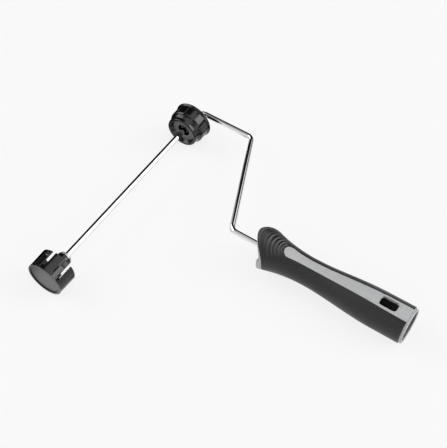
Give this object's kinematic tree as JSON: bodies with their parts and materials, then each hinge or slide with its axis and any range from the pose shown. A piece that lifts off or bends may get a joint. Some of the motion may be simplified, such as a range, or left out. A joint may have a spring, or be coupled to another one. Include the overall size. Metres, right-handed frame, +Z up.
{
  "type": "paint roller frame",
  "caption": "Paint roller frame: a bent chromed wire axle with free-turning sleeve caps, and a soft-faced handle whose open end takes an extension pole.",
  "frame": {"origin": "on the roller axis, at the face of the flange that stops the sleeve", "axes": "+X along the axle towards the crank, -Y along the handle to its open end, +Z up through the thumb rest"},
  "size_m": [0.2694, 0.3387, 0.0476],
  "materials": {
    "chromed_wire": "bright plated",
    "fastener_steel": "bright zinc",
    "cap_plastic": "moulded satin gloss",
    "bush_plastic": "natural nylon",
    "grip_rubber": "soft matte",
    "core_plastic": "fine matte texture"
  },
  "bodies": {
    "frame": {"bent_wire": "chromed_wire", "handle_core": "core_plastic", "grip_rubber": "grip_rubber", "near_outer_washer": "fastener_steel", "near_outer_retainer": "fastener_steel", "near_inner_washer": "fastener_steel", "near_inner_retainer": "fastener_steel", "far_inner_washer": "fastener_steel", "far_inner_retainer": "fastener_steel", "far_outer_washer": "fastener_steel", "far_outer_retainer": "fastener_steel"},
    "free_end_cap": {"near_cap": "cap_plastic", "near_end_disc": "cap_plastic", "near_bush": "bush_plastic"},
    "inner_cap": {"far_cap": "cap_plastic", "far_nose": "cap_plastic", "far_bush": "bush_plastic"}
  },
  "joints": [
    {"name": "free_end_cap_spin", "type": "hinge", "parent": "frame", "child": "free_end_cap", "pos_m": [-0.23, 0, 0], "axis": [1, 0, 0], "continuous": true},
    {"name": "inner_cap_spin", "type": "hinge", "parent": "frame", "child": "inner_cap", "pos_m": [-0.005, 0, 0], "axis": [1, 0, 0], "continuous": true}
  ]
}
